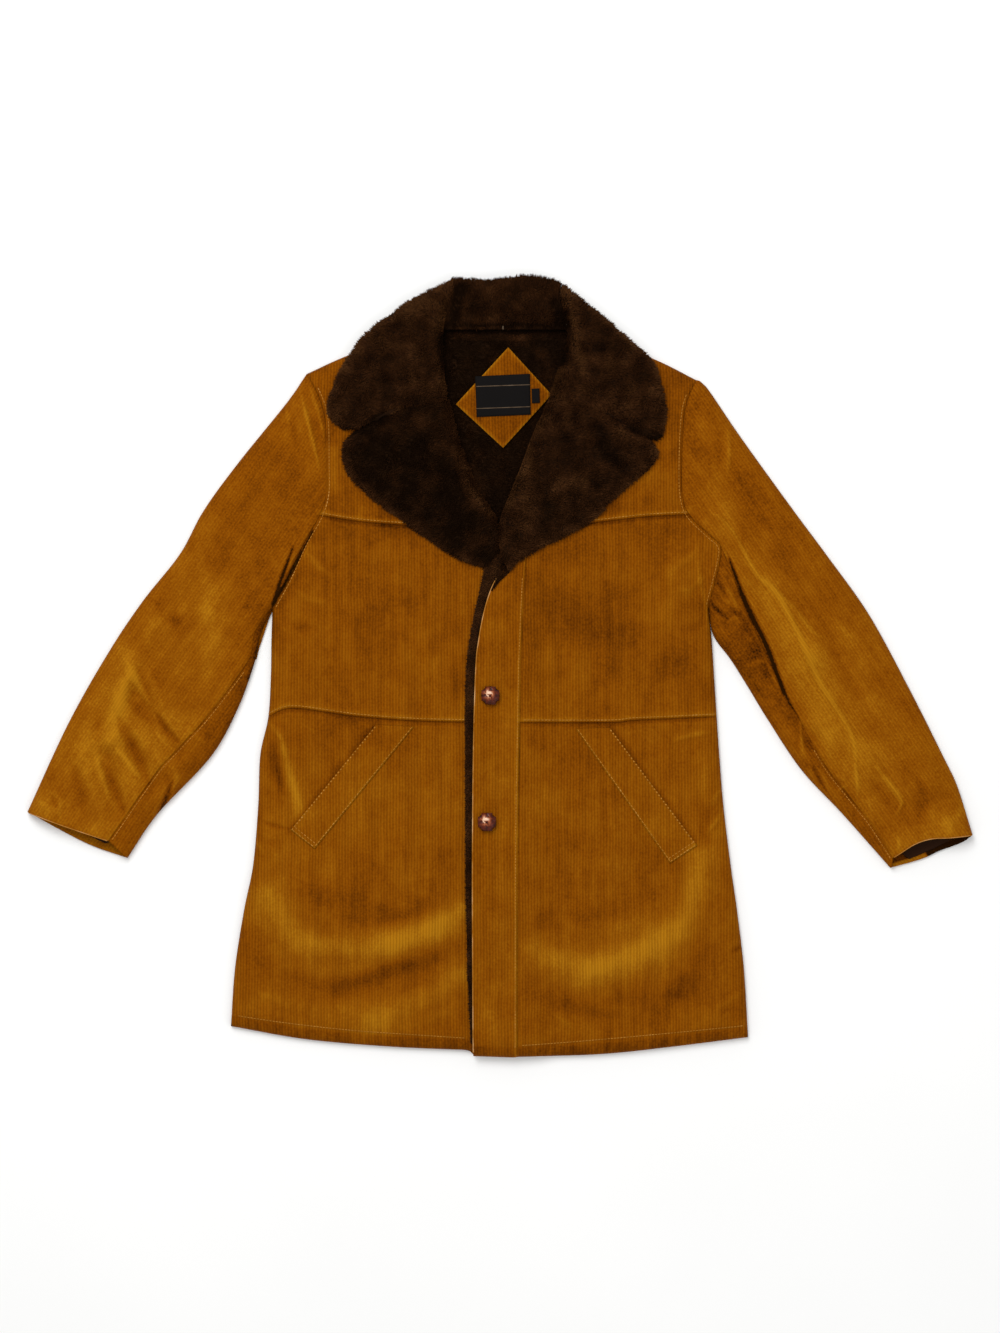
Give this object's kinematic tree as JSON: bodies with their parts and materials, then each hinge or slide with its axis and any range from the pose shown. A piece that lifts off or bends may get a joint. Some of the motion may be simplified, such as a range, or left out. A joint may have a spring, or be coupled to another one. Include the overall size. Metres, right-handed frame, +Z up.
{
  "type": "rancher jacket laid flat",
  "caption": "Hip-length corduroy rancher jacket laid flat on its back, with a pile collar, notched lapels, slanted welt pockets and a button front.",
  "frame": {"origin": "middle of the bounding box, on the surface the jacket lies on", "axes": "+X across the chest to the viewer's right, +Y from hem to collar, +Z up from the surface through the fronts"},
  "size_m": [1.1347, 0.936, 0.0319],
  "materials": {
    "corduroy": "golden tan corduroy with vertical wales and a soft nap",
    "pile": "dark brown plush pile, matt with soft clumps",
    "sleeve_lining": "smooth dark brown lining cloth",
    "woven_label": "bare black woven tape",
    "button_leather": "polished red-brown leather-look strips"
  },
  "bodies": {
    "root": {"back_panel": "corduroy", "back_lining": "pile", "front_lining_left": "pile", "front_lining_right": "pile", "front_facing": "pile", "yoke_left": "corduroy", "yoke_right": "corduroy", "chest_left": "corduroy", "chest_right": "corduroy", "skirt_left": "corduroy", "skirt_right": "corduroy", "placket": "corduroy", "welt_left": "corduroy", "welt_right": "corduroy", "topsleeve_left": "corduroy", "topsleeve_right": "corduroy", "undersleeve_left": "corduroy", "undersleeve_right": "corduroy", "sleeve_lining_left": "sleeve_lining", "sleeve_lining_right": "sleeve_lining", "collar_left": "pile", "collar_right": "pile", "collar_back": "pile", "collar_fall": "pile", "lapel_left": "pile", "lapel_right": "pile", "neck_patch": "corduroy", "neck_label": "woven_label", "size_tab": "woven_label", "button_upper": "button_leather", "button_lower": "button_leather"}
  },
  "joints": []
}
